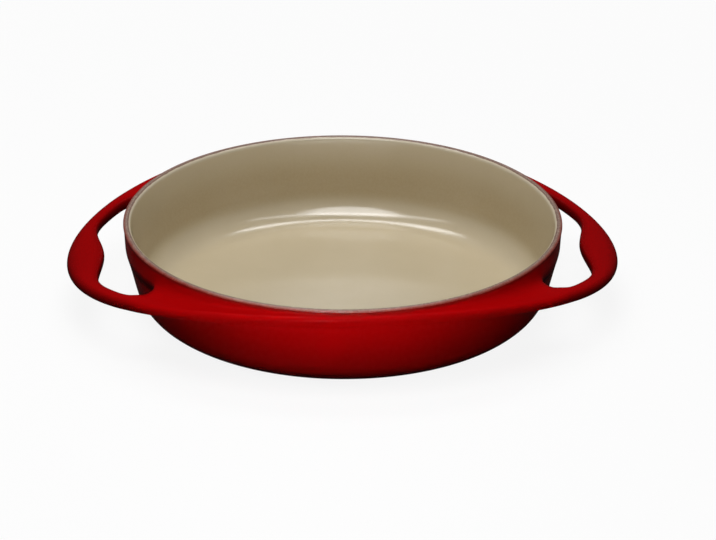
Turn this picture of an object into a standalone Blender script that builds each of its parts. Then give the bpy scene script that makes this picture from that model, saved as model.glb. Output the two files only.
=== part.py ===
"""Round enamelled cast-iron tart dish with two loop handles, in metres, +Z up.

The dish stands on z = 0 around the Z axis, and its handles lie along X. Depths are measured
down from the lip. One closed surface describes the finished dish: a turned section whose collar
rings are drawn out to an oval plate, with a finger gap cut through the plate at each end. The
enamel coats are the outer skin of that surface, and the iron casting is what lies inside them.
"""

import math

import bmesh
import bpy
from mathutils import Vector

# Bowl
RIM_RADIUS = 0.1320         # outside of the lip
HEIGHT = 0.0550             # lip above the table
WALL = 0.0040               # width of the lip
FLOOR = 0.0040              # thickness of the cooking floor
LIP_ROUND = 0.0011          # rounding of the lip's two edges
BASE_INSET = 0.0290         # how far the flat underside's edge lies inside the lip
BASE_FILLET = 0.0225        # rounding from the underside to the wall
COLLAR_BOTTOM = 0.0180      # depth at which the collar ends on the bare wall
COLLAR_INSET = 0.0024       # how far the wall just under the collar lies inside the lip
COLLAR_STEP = 0.0010        # the collar stands this far proud of the wall
GROOVE_DEPTH = 0.0023       # depth of the crease between lip and collar
GROOVE_INSET = 0.0005       # how far the crease lies inside the lip

# Collar and handles, which are one oval plate that droops towards the grips
HANDLE_OVERHANG = 0.0343    # how far a grip reaches beyond the lip
COLLAR_OVERHANG = 0.0024    # how far the collar stands out beyond the lip, front and back
PLATE_THICKNESS = 0.0058
COLLAR_DEPTH = 0.0057       # middle of the collar at the front, below the lip
HANDLE_DROP = 0.0207        # how much lower the middle of a grip lies than that
DROOP_POWER = 2.2           # how late the droop sets in
EDGE_ROUND = 0.0026         # rounding of the plate's edges
ROOT_FILLET = 0.0050        # hollow between the wall and the top of the plate
GRIP_WIDTH = 0.0230         # grip, at the middle of a handle
ARM_WIDTH = 0.0098          # arms on both sides of a grip
GRIP_HALF_ANGLE = math.radians(17.5)    # azimuth at which the grip has thinned to an arm
GAP_HALF_ANGLE = math.radians(31.0)     # azimuth at which a finger gap ends
GAP_CORNER = 0.0090         # rounding of a finger gap's outer corners, seen from above

# Enamel
COAT = 0.0005               # thickness of every coat
SEAM = 0.0003               # clearance between a coat and what it touches

# Fineness
COLUMNS = 84                # columns of faces around the dish, a multiple of 4
GAP_COLUMNS = 9             # of them, from the middle of a finger gap to its end
GAP_CROWDING = 0.6          # how much closer the columns lie at the gap's ends, 0 to 1
FRONT_SPREAD = 0.3          # how much wider they lie at the front and back, 0 to 1
FILLET_STEPS = 4            # faces across each large rounding
EDGE_SHARE = 0.3            # share of EDGE_ROUND at which the rounding's middle lies
CORNER_SHARE = 0.9          # how much of a gap corner's rounding is turned by its last column
ROOT_BLEND = (0.15, 0.65)   # share of the root fillet in the gap's last two columns
FILLET_DROP_SHARE = 0.7     # most of the wall above the plate that the root fillet takes
FILLET_REACH_SHARE = 0.6    # most of the plate's inner half that the root fillet takes
BAND_ROUND_SHARE = 0.45     # most of the grip's width that each rounded edge takes
SHARP_ANGLE = math.radians(40.0)
QUARTER_MIDDLE = 1.0 - math.sqrt(0.5)   # how far a quarter round's middle lies inside its corner

# Sizes that follow from those above
BASE_RADIUS = RIM_RADIUS - BASE_INSET           # flat underside
ARC_DEPTH = HEIGHT - BASE_FILLET                # centre of the rounding between base and wall
COLLAR_RADIUS = RIM_RADIUS - COLLAR_INSET       # wall just under the collar
HANDLE_REACH = RIM_RADIUS + HANDLE_OVERHANG     # half the length over the two grips
COLLAR_REACH = RIM_RADIUS + COLLAR_OVERHANG     # half the width over the collar

# Finishes: linear base colour, roughness, metallic
FINISHES = {
    "iron_casting": ((0.045, 0.043, 0.042, 1.0), 0.70, 1.0),
    "exterior_enamel": ((0.330, 0.004, 0.006, 1.0), 0.14, 0.0),
    "interior_enamel": ((0.520, 0.440, 0.310, 1.0), 0.28, 0.0),
    "rim_enamel": ((0.160, 0.130, 0.105, 1.0), 0.50, 0.0),
    "base_enamel": ((0.060, 0.006, 0.006, 1.0), 0.35, 0.0),
}

# Rings of the finished surface, from the cooking floor over the lip to the underside
INNER_RINGS = ["floor_%d" % step for step in range(FILLET_STEPS + 1)] + ["inner_wall", "lip_inner"]
LIP_RINGS = ["lip_top_inner", "lip_top_outer", "lip_shoulder", "lip_outer"]
TOP_RINGS = ["groove", "hollow_top", "hollow_middle", "root", "grip_inner", "grip_crest_inner",
             "grip_crest_outer", "grip_outer", "nose"]
UNDER_RINGS = ["under_outer", "under_crest_outer", "under_crest_inner", "under_inner", "under_root"]
BASE_RINGS = ["base_%d" % step for step in range(FILLET_STEPS + 1)]
RINGS = INNER_RINGS + LIP_RINGS + TOP_RINGS + UNDER_RINGS + BASE_RINGS
RING_NUMBER = {name: number for number, name in enumerate(RINGS)}

ZONES = ["interior_enamel", "rim_enamel", "exterior_enamel", "base_enamel"]


def tangent_angle(point, centre, radius):
    """Angle at which a line from point touches the outer side of an arc around centre."""
    across = point[0] - centre[0]
    down = point[1] - centre[1]
    return math.atan2(down, across) + math.acos(radius / math.hypot(across, down))


def arc_points(centre, radius, start, end, steps):
    """Points along an arc in the section, as (radius from the axis, depth)."""
    points = []
    for step in range(steps + 1):
        angle = start + (end - start) * step / steps
        points.append((centre[0] + radius * math.cos(angle), centre[1] + radius * math.sin(angle)))
    return points


def bowl_section():
    """The turned rings that don't change around the dish, by ring name."""
    centre = (BASE_RADIUS, ARC_DEPTH)
    inner_top = (RIM_RADIUS - WALL, LIP_ROUND)
    inner_start = tangent_angle(inner_top, centre, BASE_FILLET - FLOOR)
    inner = arc_points(centre, BASE_FILLET - FLOOR, math.pi / 2, inner_start, FILLET_STEPS)
    outer_start = tangent_angle((COLLAR_RADIUS, COLLAR_BOTTOM), centre, BASE_FILLET)
    outer = arc_points(centre, BASE_FILLET, outer_start, math.pi / 2, FILLET_STEPS)
    corner = LIP_ROUND * QUARTER_MIDDLE
    section = {"floor_%d" % step: point for step, point in enumerate(inner)}
    section.update({"base_%d" % step: point for step, point in enumerate(outer)})
    section["inner_wall"] = inner_top
    section["lip_inner"] = (inner_top[0] + corner, corner)
    section["lip_top_inner"] = (inner_top[0] + LIP_ROUND, 0.0)
    section["lip_top_outer"] = (RIM_RADIUS - LIP_ROUND, 0.0)
    section["lip_shoulder"] = (RIM_RADIUS - corner, corner)
    section["lip_outer"] = (RIM_RADIUS, LIP_ROUND)
    section["groove"] = (RIM_RADIUS - GROOVE_INSET, GROOVE_DEPTH)
    return section


BOWL = bowl_section()


def wall_radius(depth):
    """Outside of the bowl's wall at a depth below the lip, without the plate."""
    if depth < COLLAR_BOTTOM:
        top = BOWL["groove"]
        bottom = (COLLAR_RADIUS + COLLAR_STEP, COLLAR_BOTTOM)
    else:
        top = (COLLAR_RADIUS, COLLAR_BOTTOM)
        bottom = BOWL["base_0"]
    share = (depth - top[1]) / (bottom[1] - top[1])
    return top[0] + (bottom[0] - top[0]) * share


def outline_radius(angle):
    """Outer edge of the oval plate, seen from above."""
    return 1.0 / math.hypot(math.cos(angle) / HANDLE_REACH, math.sin(angle) / COLLAR_REACH)


def plate_depth(radius, angle):
    """Depth of the middle of the plate, which depends on the distance along X alone."""
    along = abs(radius * math.cos(angle)) / HANDLE_REACH
    return COLLAR_DEPTH + HANDLE_DROP * along ** DROOP_POWER


def off_axis(angle):
    """Angle from the nearer end of the X axis, 0 to 90 degrees."""
    return math.atan2(abs(math.sin(angle)), abs(math.cos(angle)))


def fold_column(column):
    """Number of columns from the nearer end of the X axis."""
    half_way = COLUMNS // 2
    return min(column % half_way, half_way - column % half_way)


def column_angle(column):
    """Azimuth of a column: one falls on each gap's end, where they lie closest."""
    fold = fold_column(column)
    if fold <= GAP_COLUMNS:
        share = fold / GAP_COLUMNS
        angle = GAP_HALF_ANGLE * (share + GAP_CROWDING * (math.sin(share * math.pi / 2) - share))
    else:
        share = (fold - GAP_COLUMNS) / (COLUMNS // 4 - GAP_COLUMNS)
        angle = GAP_HALF_ANGLE + (math.pi / 2 - GAP_HALF_ANGLE) * (
            share + FRONT_SPREAD * (share * share - share))
    quarter = column * 4 // COLUMNS
    return [angle, math.pi - angle, math.pi + angle, 2.0 * math.pi - angle][quarter]


def band_width(angle):
    """Width of the grip, and of the arms beside it, between the finger gap and the outline."""
    fold = off_axis(angle)
    swell = max(0.0, 1.0 - (fold / GRIP_HALF_ANGLE) ** 2) ** 2
    width = ARM_WIDTH + (GRIP_WIDTH - ARM_WIDTH) * swell
    if fold > GAP_HALF_ANGLE:
        reach = outline_radius(angle) - BOWL["groove"][0]
        reach_at_end = outline_radius(GAP_HALF_ANGLE) - BOWL["groove"][0]
        width = ARM_WIDTH * reach / reach_at_end
    return width


def corner_easing(angle):
    """How far a finger gap's outer corner is rounded off at an azimuth beside its end."""
    to_end = abs(off_axis(angle) - GAP_HALF_ANGLE) * outline_radius(GAP_HALF_ANGLE)
    into_corner = max(0.0, 1.0 - to_end / GAP_CORNER)
    return GAP_CORNER * (1.0 - math.sqrt(1.0 - (CORNER_SHARE * into_corner) ** 2))


def edge_height(distance):
    """Share of the plate's half thickness that is left at a distance from a rounded edge."""
    inward = min(distance / EDGE_ROUND, 1.0)
    return math.sqrt(1.0 - (1.0 - inward) ** 2)


def plate_section(column):
    """The rings from the groove to the plate's underside in one column, by ring name."""
    angle = column_angle(column)
    fold = fold_column(column)
    beside_gap = fold <= GAP_COLUMNS
    flare_share = {GAP_COLUMNS - 1: ROOT_BLEND[0], GAP_COLUMNS: ROOT_BLEND[1]}.get(
        fold, 0.0 if beside_gap else 1.0)
    half = PLATE_THICKNESS / 2
    outline = outline_radius(angle)
    width = band_width(angle)
    rounding = min(EDGE_ROUND, BAND_ROUND_SHARE * width)
    inner = outline - width - corner_easing(angle)
    places = {
        "grip_inner": inner + rounding * EDGE_SHARE,
        "grip_crest_inner": inner + rounding,
        "grip_crest_outer": outline - rounding,
        "grip_outer": outline - rounding * EDGE_SHARE,
    }
    unders = {"grip_inner": "under_inner", "grip_crest_inner": "under_crest_inner",
              "grip_crest_outer": "under_crest_outer", "grip_outer": "under_outer"}
    section = {"nose": (outline, plate_depth(outline, angle))}
    for name, radius in places.items():
        height = half * edge_height(outline - radius)
        if beside_gap:
            height *= edge_height(radius - inner)
        middle = plate_depth(radius, angle)
        section[name] = (radius, middle - height)
        section[unders[name]] = (radius, middle + height)

    wall = wall_radius(plate_depth(BOWL["groove"][0], angle))
    root_depth = plate_depth(wall, angle) - half
    groove = BOWL["groove"][1]
    fillet = min(ROOT_FILLET, FILLET_DROP_SHARE * (root_depth - groove),
                 FILLET_REACH_SHARE * (inner - wall))
    flare = fillet * flare_share
    top_depth = root_depth - fillet
    section["hollow_top"] = (wall_radius(top_depth), top_depth)
    middle_depth = root_depth - fillet * QUARTER_MIDDLE
    section["hollow_middle"] = (wall_radius(middle_depth) + flare * QUARTER_MIDDLE, middle_depth)
    section["root"] = (wall_radius(root_depth) + flare, plate_depth(wall + flare, angle) - half)
    under_depth = plate_depth(wall, angle) + half
    section["under_root"] = (wall_radius(under_depth), under_depth)
    return section


def place(radius, angle, depth):
    """A point of the dish from its distance from the axis, its azimuth and its depth."""
    return Vector((radius * math.cos(angle), radius * math.sin(angle), HEIGHT - depth))


def turned_surface():
    """Turn the section into a closed skin, with each vertex's ring and column in layers."""
    bm = bmesh.new()
    ring_layer = bm.verts.layers.int.new("ring")
    column_layer = bm.verts.layers.int.new("column")
    section = {**BOWL, **plate_section(0)}
    chain = []
    for number, name in enumerate(RINGS):
        vert = bm.verts.new(place(section[name][0], 0.0, section[name][1]))
        vert[ring_layer] = number
        chain.append(vert)
    edges = [bm.edges.new(pair) for pair in zip(chain, chain[1:])]
    bmesh.ops.spin(bm, geom=chain + edges, cent=(0.0, 0.0, 0.0), axis=(0.0, 0.0, 1.0),
                   angle=2.0 * math.pi, steps=COLUMNS, use_merge=True)
    even_step = 2.0 * math.pi / COLUMNS
    for vert in bm.verts:
        vert[column_layer] = round(math.atan2(vert.co.y, vert.co.x) / even_step) % COLUMNS
    bmesh.ops.holes_fill(bm, edges=[edge for edge in bm.edges if edge.is_boundary], sides=0)
    return bm, ring_layer, column_layer


def draw_out_plate(bm, ring_layer, column_layer):
    """Move every ring to its place, which draws the collar's rings out to the oval plate."""
    sections = [{**BOWL, **plate_section(column)} for column in range(COLUMNS)]
    for vert in bm.verts:
        column = vert[column_layer]
        radius, depth = sections[column][RINGS[vert[ring_layer]]]
        vert.co = place(radius, column_angle(column), depth)


def cut_finger_gaps(bm, ring_layer, column_layer):
    """Open both finger gaps through the plate and line them with a rounded edge."""
    top_pair = {RING_NUMBER["root"], RING_NUMBER["grip_inner"]}
    under_pair = {RING_NUMBER["under_inner"], RING_NUMBER["under_root"]}
    doomed = []
    for face in bm.faces:
        rings = {vert[ring_layer] for vert in face.verts}
        if rings not in (top_pair, under_pair):
            continue
        if all(fold_column(vert[column_layer]) <= GAP_COLUMNS for vert in face.verts):
            doomed.append(face)
    bmesh.ops.delete(bm, geom=doomed, context="FACES")
    wall_side = {RING_NUMBER["root"], RING_NUMBER["under_root"]}
    for side in (-1.0, 1.0):
        loop = [edge for edge in bm.edges if edge.is_boundary and edge.verts[0].co.x * side > 0.0]
        lining = bmesh.ops.bridge_loops(bm, edges=loop)
        middle = bmesh.ops.subdivide_edges(bm, edges=lining["edges"], cuts=1, use_grid_fill=True)
        centre = Vector((side * (RIM_RADIUS + HANDLE_REACH - GRIP_WIDTH) / 2, 0.0, 0.0))
        for vert in {item for item in middle["geom_inner"] if isinstance(item, bmesh.types.BMVert)}:
            at_end = fold_column(vert[column_layer]) == GAP_COLUMNS
            if vert[ring_layer] in wall_side and not at_end:
                continue
            inward = Vector((centre.x - vert.co.x, -vert.co.y, 0.0)).normalized()
            vert.co += inward * EDGE_ROUND * EDGE_SHARE


def zone_of(face, ring_layer):
    """Which coat a face belongs to."""
    last = max(vert[ring_layer] for vert in face.verts)
    first = min(vert[ring_layer] for vert in face.verts)
    if last <= RING_NUMBER["lip_inner"]:
        return ZONES.index("interior_enamel")
    if last <= RING_NUMBER["lip_outer"]:
        return ZONES.index("rim_enamel")
    if first >= RING_NUMBER["base_%d" % (FILLET_STEPS - 1)]:
        return ZONES.index("base_enamel")
    return ZONES.index("exterior_enamel")


def dish_surface():
    """The closed surface of the finished dish, each face marked with its zone."""
    bm, ring_layer, column_layer = turned_surface()
    draw_out_plate(bm, ring_layer, column_layer)
    cut_finger_gaps(bm, ring_layer, column_layer)
    bmesh.ops.recalc_face_normals(bm, faces=bm.faces[:])
    for face in bm.faces:
        face.material_index = zone_of(face, ring_layer)
    # The coats and the iron share one set of diagonals, so that they stay apart where it twists
    bmesh.ops.triangulate(bm, faces=[face for face in bm.faces if len(face.verts) == 4])
    return bm


def sunk_places(bm, distance):
    """Where each vertex lies when the surface is moved inwards by an even distance."""
    bm.normal_update()
    return {vert: vert.co - vert.normal * vert.calc_shell_factor() * distance for vert in bm.verts}


def draw_back_edges(bm):
    """Steps that pull a coat's open edges back along the surface, to leave half a seam."""
    steps = {}
    for vert in bm.verts:
        if not vert.is_boundary:
            continue
        inner = [edge.other_vert(vert).co for edge in vert.link_edges if not edge.is_boundary]
        toward = sum((point - vert.co for point in inner), Vector()).normalized()
        steps[vert] = toward * SEAM / 2
    return steps


def finish(name):
    """The Principled material of one piece."""
    colour, roughness, metallic = FINISHES[name]
    material = bpy.data.materials.new(name)
    material.use_nodes = True
    shader = material.node_tree.nodes["Principled BSDF"]
    shader.inputs["Base Color"].default_value = colour
    shader.inputs["Roughness"].default_value = roughness
    shader.inputs["Metallic"].default_value = metallic
    material.diffuse_color = colour
    return material


def add_object(name, bm):
    """Put a mesh in the scene as a smooth-shaded object with its own material."""
    for face in bm.faces:
        face.material_index = 0
    mesh = bpy.data.meshes.new(name)
    bm.to_mesh(mesh)
    bm.free()
    mesh.materials.append(finish(name))
    mesh.shade_smooth()
    mesh.set_sharp_from_angle(angle=SHARP_ANGLE)
    piece = bpy.data.objects.new(name, mesh)
    bpy.context.scene.collection.objects.link(piece)
    return piece


def build_casting(surface):
    """The iron: the finished surface moved in by the coats and their clearance."""
    bm = surface.copy()
    for vert, place_after in sunk_places(bm, COAT + SEAM).items():
        vert.co = place_after
    return add_object("iron_casting", bm)


def build_coat(surface, zone):
    """One enamel coat: its zone of the finished surface and the same zone sunk by the coat."""
    bm = surface.copy()
    sunk = sunk_places(bm, COAT)
    others = [face for face in bm.faces if face.material_index != ZONES.index(zone)]
    bmesh.ops.delete(bm, geom=others, context="FACES")
    steps = draw_back_edges(bm)
    rims = [edge for edge in bm.edges if edge.is_boundary]
    outside = bm.verts[:] + bm.edges[:] + bm.faces[:]
    copied = bmesh.ops.duplicate(bm, geom=outside)
    under = copied["vert_map"]
    bmesh.ops.reverse_faces(bm, faces=[item for item in copied["geom"]
                                       if isinstance(item, bmesh.types.BMFace)])
    for vert in [item for item in outside if isinstance(item, bmesh.types.BMVert)]:
        step = steps.get(vert, Vector())
        under[vert].co = sunk[vert] + step
        vert.co += step
    for edge in rims:
        first, second = edge.verts
        bm.faces.new((first, second, under[second], under[first]))
    bmesh.ops.recalc_face_normals(bm, faces=bm.faces[:])
    return add_object(zone, bm)


def main():
    """Clear the scene and build the dish."""
    for old in list(bpy.data.objects):
        bpy.data.objects.remove(old, do_unlink=True)
    surface = dish_surface()
    build_casting(surface)
    for zone in ZONES:
        build_coat(surface, zone)
    surface.free()


main()
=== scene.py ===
"""Looks of a round enamelled cast-iron tart dish with two loop handles, in metres, +Z up.

The dish stands on z = 0 around the Z axis and its handles lie along X. Depths are measured down
from the lip. One smooth skin describes the finished dish, and every enamel coat is the part of
that skin which carries its colour, given the thickness of a coat.
"""

import logging
import math
from collections.abc import Callable, Mapping
from dataclasses import dataclass, field
from enum import Enum

import bmesh
import bpy
from mathutils import Matrix, Vector


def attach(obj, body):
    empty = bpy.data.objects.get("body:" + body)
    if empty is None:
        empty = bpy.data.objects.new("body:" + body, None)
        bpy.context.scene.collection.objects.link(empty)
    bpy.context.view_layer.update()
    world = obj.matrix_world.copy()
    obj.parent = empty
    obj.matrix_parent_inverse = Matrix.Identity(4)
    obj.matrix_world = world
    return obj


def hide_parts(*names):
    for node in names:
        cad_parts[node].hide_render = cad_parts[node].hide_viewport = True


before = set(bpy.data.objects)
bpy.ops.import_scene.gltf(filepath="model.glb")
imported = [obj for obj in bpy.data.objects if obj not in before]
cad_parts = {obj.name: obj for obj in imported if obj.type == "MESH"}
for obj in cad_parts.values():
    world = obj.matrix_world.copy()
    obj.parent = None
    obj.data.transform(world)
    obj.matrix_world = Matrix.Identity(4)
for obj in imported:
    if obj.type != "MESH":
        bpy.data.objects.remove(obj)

LOG = logging.getLogger("tart_dish")

Colour = tuple[float, float, float]
Point = tuple[float, float]
Shape = bmesh.types.BMesh
Socket = bpy.types.NodeSocket
Number = float | Socket
Value = Number | Colour
Given = Mapping[str, Socket]

ROOT_BODY = "root"
WHITE: Colour = (1.0, 1.0, 1.0)
QUARTER_MIDDLE = 1.0 - math.sqrt(0.5)       # how far a quarter round's middle lies inside
NOISE_MIDDLE = 0.5
NOISE_ENDS = (0.3, 0.7)                     # most values of a noise texture lie between these
MIX_FIRST, MIX_SECOND, MIX_RESULT = 6, 7, 2     # a Mix node's sockets for colours


def add_object(name: str, data: bpy.types.ID) -> bpy.types.Object:
    """Add an object to the scene.

    Args:
        name: Name of the object.
        data: Its mesh, light or camera.

    Returns:
        The object.
    """
    added = bpy.data.objects.new(name, data)
    bpy.context.scene.collection.objects.link(added)
    return added


def add_mesh(name: str, shape: Shape) -> bpy.types.Object:
    """Add an object with the mesh of a shape, and free the shape.

    Args:
        name: Name of the object and of its mesh.
        shape: The shape.

    Returns:
        The object.
    """
    mesh = bpy.data.meshes.new(name)
    shape.to_mesh(mesh)
    shape.free()
    return add_object(name, mesh)


def direction(azimuth: float, elevation: float) -> Vector:
    """Return the direction at two angles in radians, which is the front where both are 0."""
    return Vector((math.sin(azimuth) * math.cos(elevation),
                   -math.cos(azimuth) * math.cos(elevation), math.sin(elevation)))


class Coat(Enum):
    """The enamel coats, in the order in which they follow each other over the section."""

    INTERIOR = "interior_enamel"
    RIM = "rim_enamel"
    EXTERIOR = "exterior_enamel"
    BASE = "base_enamel"

    @property
    def number(self) -> int:
        """Index that marks this coat's faces on the skin."""
        return list(Coat).index(self)


@dataclass(frozen=True)
class Ring:
    """One ring of the skin's cage.

    Args:
        name: What the ring marks.
        coat: Coat of the strip between this ring and the one before it.
        edge: How exposed the ring is, 0 on a flat and 1 on an outer edge; on the red coat it also
            sets painted shade.
        gap_only: Whether it is exposed only beside a finger gap.
    """

    name: str
    coat: Coat
    edge: float = 0.0
    gap_only: bool = False


@dataclass(frozen=True)
class Bowl:
    """Turned body of the dish: cooking floor, flared wall, lip and underside."""

    rim_radius: float = 0.1320
    height: float = 0.0550
    floor: float = 0.0040
    lip_width: float = 0.0047
    lip_round: float = 0.0011
    lip_inner_round: float = 0.0019
    lip_crown: float = 0.0002
    base_radius: float = 0.1030
    base_fillet: float = 0.0225
    collar_bottom: float = 0.0180
    collar_radius: float = 0.1296
    collar_step: float = 0.0010
    groove_depth: float = 0.0023
    groove_inset: float = 0.0005
    fillet_steps: int = 8
    support: float = 0.0040
    pole_radius: float = 0.0040
    middle_radius: float = 0.0600

    def _tangent_angle(self, point: Point, centre: Point, radius: float) -> float:
        """Return the angle at which a line from a point touches an arc's outer side."""
        across, down = point[0] - centre[0], point[1] - centre[1]
        return math.atan2(down, across) + math.acos(radius / math.hypot(across, down))

    def _arc(self, name: str, radius: float, start: float, end: float) -> dict[str, Point]:
        """Lay rings along an arc around the base rounding's centre.

        Args:
            name: First part of the rings' names.
            radius: Radius of the arc.
            start: Angle of the first ring.
            end: Angle of the last ring.

        Returns:
            Places of the rings, as (radius from the axis, depth), by name.
        """
        angles = [start + (end - start) * step / self.fillet_steps
                  for step in range(self.fillet_steps + 1)]
        return {"%s_%d" % (name, step):
                (self.base_radius + radius * math.cos(angle),
                 self.height - self.base_fillet + radius * math.sin(angle))
                for step, angle in enumerate(angles)}

    def section(self) -> dict[str, Point]:
        """Lay the rings that don't change around the dish.

        Returns:
            Places of the rings, as (radius from the axis, depth), by name.
        """
        centre = (self.base_radius, self.height - self.base_fillet)
        lip_inner = self.rim_radius - self.lip_width
        inner_top = (lip_inner, self.lip_inner_round)
        inner_fillet = self.base_fillet - self.floor
        outer_top = (self.collar_radius, self.collar_bottom)
        places = self._arc("floor", inner_fillet, math.pi / 2,
                           self._tangent_angle(inner_top, centre, inner_fillet))
        places.update(self._arc("base", self.base_fillet,
                                self._tangent_angle(outer_top, centre, self.base_fillet),
                                math.pi / 2))
        floor_depth = self.height - self.floor
        for name, radius in (("pole", self.pole_radius), ("middle", self.middle_radius),
                             ("edge", self.base_radius - self.support)):
            places["floor_" + name] = (radius, floor_depth)
            places["base_" + name] = (radius, self.height)
        top = places["floor_%d" % self.fillet_steps]
        share = self.support / (top[1] - self.lip_inner_round)
        places["wall_top"] = (lip_inner + (top[0] - lip_inner) * share,
                              self.lip_inner_round + self.support)
        corner = self.lip_inner_round * QUARTER_MIDDLE
        places["inner_wall"] = inner_top
        places["lip_inner"] = (lip_inner + corner, corner + self.lip_crown)
        places["lip_top_inner"] = (lip_inner + self.lip_inner_round, self.lip_crown)
        corner = self.lip_round * QUARTER_MIDDLE
        crest = (lip_inner + self.lip_inner_round + self.rim_radius - self.lip_round) / 2
        places["lip_middle"] = (crest, 0.0)
        places["lip_top_outer"] = (self.rim_radius - self.lip_round, self.lip_crown)
        places["lip_shoulder"] = (self.rim_radius - corner, corner + self.lip_crown)
        places["lip_outer"] = (self.rim_radius, self.lip_round + self.lip_crown)
        places["groove"] = (self.rim_radius - self.groove_inset, self.groove_depth)
        return places

    def wall_radius(self, depth: float) -> float:
        """Measure the wall's outside, without the handle plate.

        Args:
            depth: Depth below the lip.

        Returns:
            Its radius there.
        """
        places = self.section()
        if depth < self.collar_bottom:
            top = places["groove"]
            bottom = (self.collar_radius + self.collar_step, self.collar_bottom)
        else:
            top = (self.collar_radius, self.collar_bottom)
            bottom = places["base_0"]
        share = (depth - top[1]) / (bottom[1] - top[1])
        return top[0] + (bottom[0] - top[0]) * share


@dataclass(frozen=True)
class HandlePlate:
    """Oval plate around the bowl: the collar at the front and back, the handles at the ends."""

    bowl: Bowl = field(default_factory=Bowl)
    handle_reach: float = 0.1663
    collar_reach: float = 0.1344
    thickness: float = 0.0058
    collar_depth: float = 0.0057
    handle_drop: float = 0.0207
    droop_power: float = 2.2
    edge_round: float = 0.0026
    root_fillet: float = 0.0050
    heel: float = 0.0019
    grip_width: float = 0.0238
    arm_width: float = 0.0106
    grip_half_angle: float = math.radians(17.5)
    gap_half_angle: float = math.radians(31.0)
    gap_corner: float = 0.0090
    columns: int = 84
    gap_columns: int = 9
    gap_crowding: float = 0.6
    front_spread: float = 0.3
    edge_share: float = 0.3
    corner_share: float = 0.9
    root_blend: Point = (0.15, 0.65)
    fillet_drop_share: float = 0.7
    fillet_reach_share: float = 0.6
    band_round_share: float = 0.45

    def outline_radius(self, angle: float) -> float:
        """Measure the plate's outline.

        Args:
            angle: An azimuth.

        Returns:
            The plate's outer radius there.
        """
        along = math.cos(angle) / self.handle_reach
        across = math.sin(angle) / self.collar_reach
        return 1.0 / math.hypot(along, across)

    def depth_at(self, radius: float, angle: float) -> float:
        """Return the depth of the plate's middle, which droops with the distance along X."""
        along = abs(radius * math.cos(angle)) / self.handle_reach
        return self.collar_depth + self.handle_drop * along ** self.droop_power

    def fold_column(self, column: int) -> int:
        """Return how many columns a column lies from the nearer end of the X axis."""
        half_way = self.columns // 2
        return min(column % half_way, half_way - column % half_way)

    def column_angle(self, column: int) -> float:
        """Find a column's azimuth: columns lie closest at the ends of the finger gaps.

        Args:
            column: Number of the column around the dish.

        Returns:
            Its azimuth.
        """
        fold = self.fold_column(column)
        if fold <= self.gap_columns:
            share = fold / self.gap_columns
            bend = math.sin(share * math.pi / 2) - share
            angle = self.gap_half_angle * (share + self.gap_crowding * bend)
        else:
            share = (fold - self.gap_columns) / (self.columns // 4 - self.gap_columns)
            spread = share + self.front_spread * (share * share - share)
            angle = self.gap_half_angle + (math.pi / 2 - self.gap_half_angle) * spread
        quarter = column * 4 // self.columns
        return (angle, math.pi - angle, math.pi + angle, 2.0 * math.pi - angle)[quarter]

    def _fold(self, angle: float) -> float:
        """Return the angle between an azimuth and the nearer end of the X axis."""
        return math.atan2(abs(math.sin(angle)), abs(math.cos(angle)))

    def _band_width(self, angle: float) -> float:
        """Measure the plate between the finger gap, or the wall, and the outline.

        Args:
            angle: An azimuth.

        Returns:
            The width there.
        """
        fold = self._fold(angle)
        groove = self.bowl.section()["groove"][0]
        if fold > self.gap_half_angle:
            at_end = self.outline_radius(self.gap_half_angle) - groove
            return self.arm_width * (self.outline_radius(angle) - groove) / at_end
        swell = max(0.0, 1.0 - (fold / self.grip_half_angle) ** 2) ** 2
        return self.arm_width + (self.grip_width - self.arm_width) * swell

    def _corner_easing(self, angle: float) -> float:
        """Measure how far a finger gap's outer corner is rounded off beside the gap's end.

        Args:
            angle: An azimuth.

        Returns:
            How much farther in the plate's inner edge lies there.
        """
        fold = self._fold(angle)
        to_end = abs(fold - self.gap_half_angle) * self.outline_radius(self.gap_half_angle)
        into_corner = max(0.0, 1.0 - to_end / self.gap_corner)
        turned = (self.corner_share * into_corner) ** 2
        return self.gap_corner * (1.0 - math.sqrt(1.0 - turned))

    def _edge_height(self, distance: float) -> float:
        """Return the share of the half thickness that is left at a distance from an edge."""
        inward = min(distance / self.edge_round, 1.0)
        return math.sqrt(1.0 - (1.0 - inward) ** 2)

    def section(self, column: int) -> dict[str, Point]:
        """Lay the plate's rings in one column.

        Args:
            column: Number of the column around the dish.

        Returns:
            Places of the rings, as (radius from the axis, depth), by name.
        """
        angle = self.column_angle(column)
        fold = self.fold_column(column)
        beside_gap = fold <= self.gap_columns
        blends = {self.gap_columns - 1: self.root_blend[0], self.gap_columns: self.root_blend[1]}
        flare_share = blends.get(fold, 0.0 if beside_gap else 1.0)
        half = self.thickness / 2
        outline = self.outline_radius(angle)
        width = self._band_width(angle)
        rounding = min(self.edge_round, self.band_round_share * width)
        inner = outline - width - self._corner_easing(angle)
        radii = {
            "inner": inner + rounding * self.edge_share,
            "crest_inner": inner + rounding,
            "crest_middle": (inner + outline) / 2,
            "crest_outer": outline - rounding,
            "outer": outline - rounding * self.edge_share,
        }
        places = {"nose": (outline, self.depth_at(outline, angle))}
        for name, radius in radii.items():
            height = half * self._edge_height(outline - radius)
            if beside_gap:
                height *= self._edge_height(radius - inner)
            middle = self.depth_at(radius, angle)
            inward = min((outline - radius) / (outline - inner), 1.0)
            places["grip_" + name] = (radius, middle - height)
            places["under_" + name] = (radius, middle + height + self.heel * inward)
        places.update(self._root(angle, inner, flare_share))
        return places

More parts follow.
